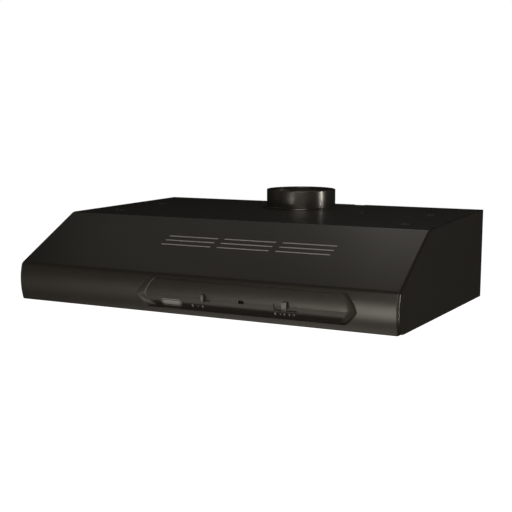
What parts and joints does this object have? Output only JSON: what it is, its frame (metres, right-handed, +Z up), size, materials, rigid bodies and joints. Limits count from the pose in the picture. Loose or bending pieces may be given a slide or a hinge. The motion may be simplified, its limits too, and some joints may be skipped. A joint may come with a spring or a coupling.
{
  "type": "under cabinet range hood",
  "caption": "Low sloped-front kitchen range hood with a bowed lower face, dished slider panel, vent slots, round duct collar, blower, grease filters and lamps.",
  "frame": {"origin": "centre of the four cabinet screw holes, on the upper face of the top panel", "axes": "+X to the right along the width, -Y towards the cook (front), +Z up through the duct collar"},
  "size_m": [0.76, 0.5785, 0.2245],
  "materials": {
    "black_enamel": "semi-gloss",
    "galvanised": "satin",
    "collar_enamel": "gloss",
    "black_plastic": "satin",
    "knob_plastic": "gloss",
    "badge_metal": "satin",
    "mark_ink": "matt",
    "lens_plastic": "gloss",
    "switch_plastic": "matt",
    "filter_aluminium": "satin",
    "mesh_aluminium": "matt",
    "steel": "satin",
    "screw_steel": "satin",
    "reflector": "polished",
    "ceramic": "matt",
    "bulb_glass": "frosted",
    "lens_glass": "frosted",
    "impeller_steel": "satin",
    "bronze": "satin",
    "stator_iron": "matt",
    "capacitor_plastic": "matt",
    "terminal_plastic": "matt"
  },
  "bodies": {
    "hood": {"adapter_plate": "galvanised", "badge_plate": "badge_metal", "blower_plate_left": "galvanised", "blower_plate_right": "galvanised", "blower_scroll": "galvanised", "control_fascia": "black_plastic", "damper_rod": "steel", "duct_collar": "collar_enamel", "fan_switch": "switch_plastic", "fascia_screws": "screw_steel", "filter_catches": "black_enamel", "filter_hinge_blocks": "black_enamel", "front_skin": "black_enamel", "indicator_lens": "lens_plastic", "lamp_hinge_blocks": "black_enamel", "lamp_left_bulb": "bulb_glass", "lamp_left_holder": "ceramic", "lamp_left_reflector": "reflector", "lamp_right_bulb": "bulb_glass", "lamp_right_holder": "ceramic", "lamp_right_reflector": "reflector", "light_switch": "switch_plastic", "motor_bearings": "bronze", "motor_bracket": "steel", "motor_can": "steel", "motor_capacitor": "capacitor_plastic", "motor_end_cap": "steel", "motor_stator": "stator_iron", "panel_screws": "screw_steel", "rear_panel": "black_enamel", "scale_marks": "mark_ink", "side_panel_left": "black_enamel", "side_panel_right": "black_enamel", "switch_bracket": "galvanised", "terminal_block": "terminal_plastic", "terminal_box": "galvanised", "terminal_cover": "galvanised", "top_panel": "black_enamel", "underside_pan": "black_enamel", "vent_blanking_plate": "galvanised"},
    "light_slider": {"light_knob": "knob_plastic"},
    "fan_slider": {"fan_knob": "knob_plastic"},
    "impeller_rotor": {"impeller": "impeller_steel", "motor_shaft": "steel", "motor_rotor": "stator_iron"},
    "damper_rear": {"damper_flap_rear": "galvanised"},
    "damper_front": {"damper_flap_front": "galvanised"},
    "filter_left": {"filter_left_frame": "filter_aluminium", "filter_left_mesh": "mesh_aluminium", "filter_left_latch_spring": "steel"},
    "filter_left_catch_slide": {"filter_left_latch": "black_plastic"},
    "lamp_cover_left": {"lamp_left_cover": "black_plastic", "lamp_left_glass": "lens_glass"},
    "filter_right": {"filter_right_frame": "filter_aluminium", "filter_right_mesh": "mesh_aluminium", "filter_right_latch_spring": "steel"},
    "filter_right_catch_slide": {"filter_right_latch": "black_plastic"},
    "lamp_cover_right": {"lamp_right_cover": "black_plastic", "lamp_right_glass": "lens_glass"}
  },
  "joints": [
    {"name": "light_slide", "type": "slide", "parent": "hood", "child": "light_slider", "axis": [1, 0, 0], "range_m": [0, 0.009]},
    {"name": "fan_slide", "type": "slide", "parent": "hood", "child": "fan_slider", "axis": [1, 0, 0], "range_m": [-0.018, 0.018]},
    {"name": "impeller_spin", "type": "hinge", "parent": "hood", "child": "impeller_rotor", "pos_m": [0, 0.097, -0.07], "axis": [1, 0, 0], "continuous": true},
    {"name": "damper_rear_swing", "type": "hinge", "parent": "hood", "child": "damper_rear", "pos_m": [0, 0.157, 0.008], "axis": [1, 0, 0], "range_deg": [0, 80]},
    {"name": "damper_front_swing", "type": "hinge", "parent": "hood", "child": "damper_front", "pos_m": [0, 0.157, 0.008], "axis": [-1, 0, 0], "range_deg": [0, 80]},
    {"name": "filter_left_swing", "type": "hinge", "parent": "hood", "child": "filter_left", "pos_m": [0, 0.10553, -0.1654], "axis": [1, 0, 0], "range_deg": [0, 85]},
    {"name": "filter_left_latch_slide", "type": "slide", "parent": "filter_left", "child": "filter_left_catch_slide", "axis": [0, 0.9984, -0.0559], "range_m": [0, 0.005], "stiffness_N_per_m": 400, "springref_m": -0.004, "deforming": ["filter_left_latch_spring"]},
    {"name": "lamp_cover_left_swing", "type": "hinge", "parent": "hood", "child": "lamp_cover_left", "pos_m": [0, -0.21137, -0.14577], "axis": [1, 0, 0], "range_deg": [0, 75]},
    {"name": "filter_right_swing", "type": "hinge", "parent": "hood", "child": "filter_right", "pos_m": [0, 0.10553, -0.1654], "axis": [1, 0, 0], "range_deg": [0, 85]},
    {"name": "filter_right_latch_slide", "type": "slide", "parent": "filter_right", "child": "filter_right_catch_slide", "axis": [0, 0.9984, -0.0559], "range_m": [0, 0.005], "stiffness_N_per_m": 400, "springref_m": -0.004, "deforming": ["filter_right_latch_spring"]},
    {"name": "lamp_cover_right_swing", "type": "hinge", "parent": "hood", "child": "lamp_cover_right", "pos_m": [0, -0.21137, -0.14577], "axis": [1, 0, 0], "range_deg": [0, 75]}
  ]
}
